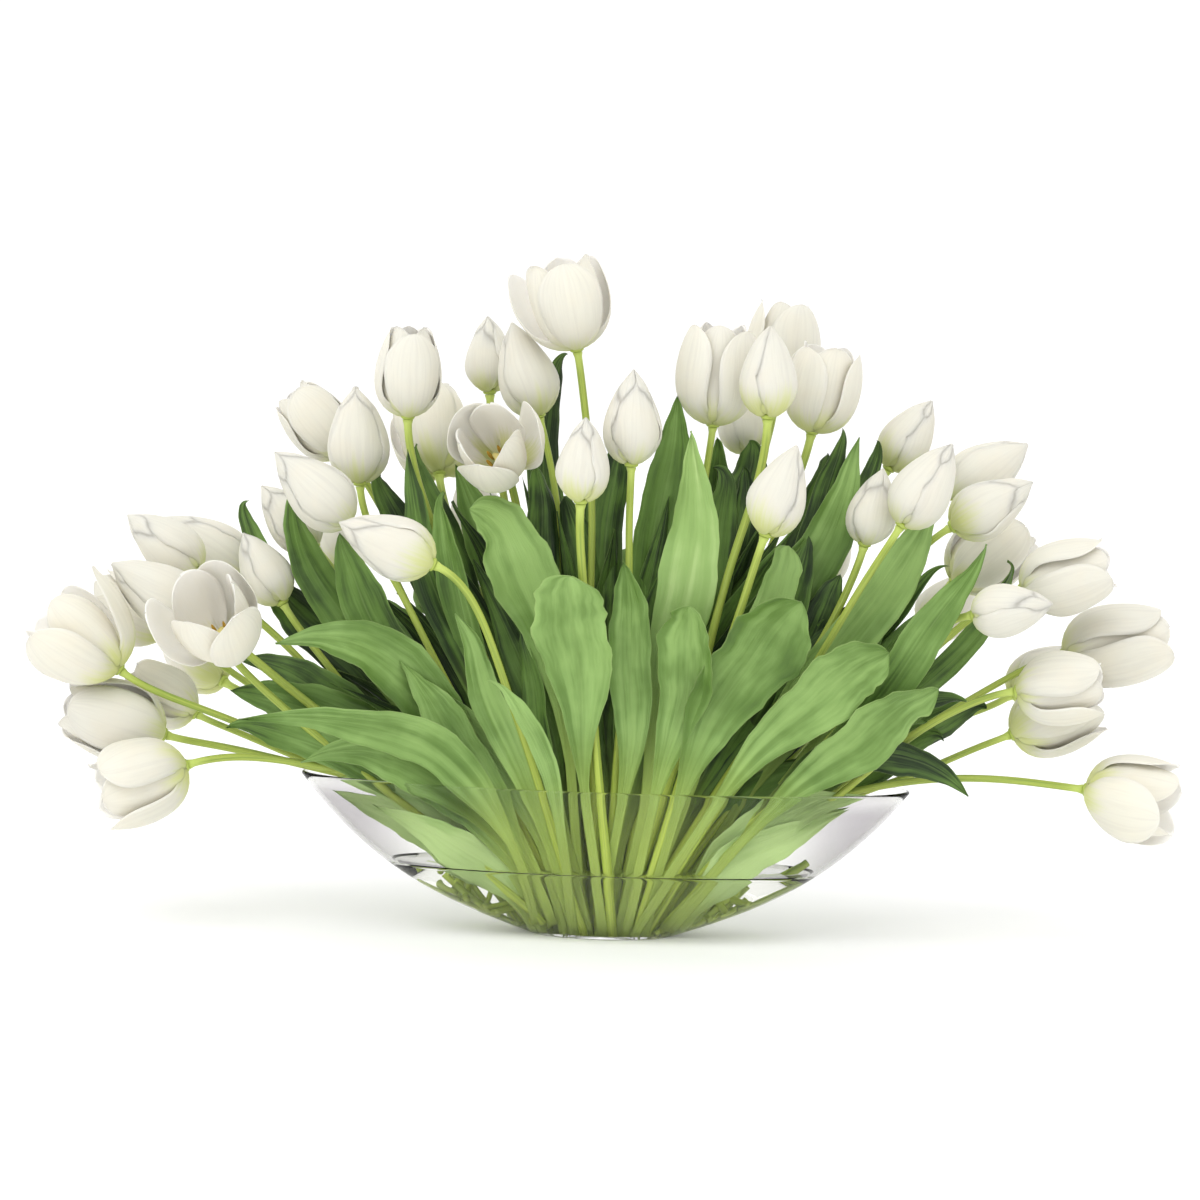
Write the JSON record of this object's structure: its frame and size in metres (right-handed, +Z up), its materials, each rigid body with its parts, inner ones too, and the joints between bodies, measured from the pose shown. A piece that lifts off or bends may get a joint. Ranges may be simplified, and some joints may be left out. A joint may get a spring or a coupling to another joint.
{
  "type": "floral table centerpiece",
  "caption": "Table centerpiece of white tulips and long green leaves fanned out of a low clear glass boat-shaped bowl part filled with water.",
  "frame": {"origin": "middle of the flat underside of the bowl", "axes": "+X along the bowl's length to the viewer's right, +Y away from the front, +Z up"},
  "size_m": [0.7586, 0.2806, 0.4484],
  "materials": {
    "bowl_glass": "clear polished glass",
    "clear_water": "clear still water",
    "stem_and_leaf_green": "satin leaf with fine lengthwise veins",
    "petal_white": "soft matt petal"
  },
  "bodies": {
    "root": {"glass_bowl": "bowl_glass", "water": "clear_water", "stems_and_leaves_front_far_left": "stem_and_leaf_green", "stems_and_leaves_front_left": "stem_and_leaf_green", "stems_and_leaves_front_middle": "stem_and_leaf_green", "stems_and_leaves_front_right": "stem_and_leaf_green", "stems_and_leaves_front_far_right": "stem_and_leaf_green", "stems_and_leaves_back_far_left": "stem_and_leaf_green", "stems_and_leaves_back_left": "stem_and_leaf_green", "stems_and_leaves_back_right": "stem_and_leaf_green", "stems_and_leaves_back_far_right": "stem_and_leaf_green", "tulip_01": "petal_white", "tulip_02": "petal_white", "tulip_03": "petal_white", "tulip_04": "petal_white", "tulip_05": "petal_white", "tulip_06": "petal_white", "tulip_07": "petal_white", "tulip_08": "petal_white", "tulip_09": "petal_white", "tulip_10": "petal_white", "tulip_11": "petal_white", "tulip_12": "petal_white", "tulip_13": "petal_white", "tulip_14": "petal_white", "tulip_15": "petal_white", "tulip_16": "petal_white", "tulip_17": "petal_white", "tulip_18": "petal_white", "tulip_19": "petal_white", "tulip_20": "petal_white", "tulip_21": "petal_white", "tulip_22": "petal_white", "tulip_23": "petal_white", "tulip_24": "petal_white", "tulip_25": "petal_white", "tulip_26": "petal_white", "tulip_27": "petal_white", "tulip_28": "petal_white", "tulip_29": "petal_white", "tulip_30": "petal_white", "tulip_31": "petal_white", "tulip_32": "petal_white", "tulip_33": "petal_white", "tulip_34": "petal_white", "tulip_35": "petal_white", "tulip_36": "petal_white", "tulip_37": "petal_white", "tulip_38": "petal_white", "tulip_39": "petal_white", "tulip_40": "petal_white", "tulip_41": "petal_white", "tulip_42": "petal_white", "tulip_43": "petal_white", "tulip_44": "petal_white", "tulip_45": "petal_white", "tulip_46": "petal_white", "tulip_47": "petal_white", "tulip_48": "petal_white", "tulip_49": "petal_white"}
  },
  "joints": []
}
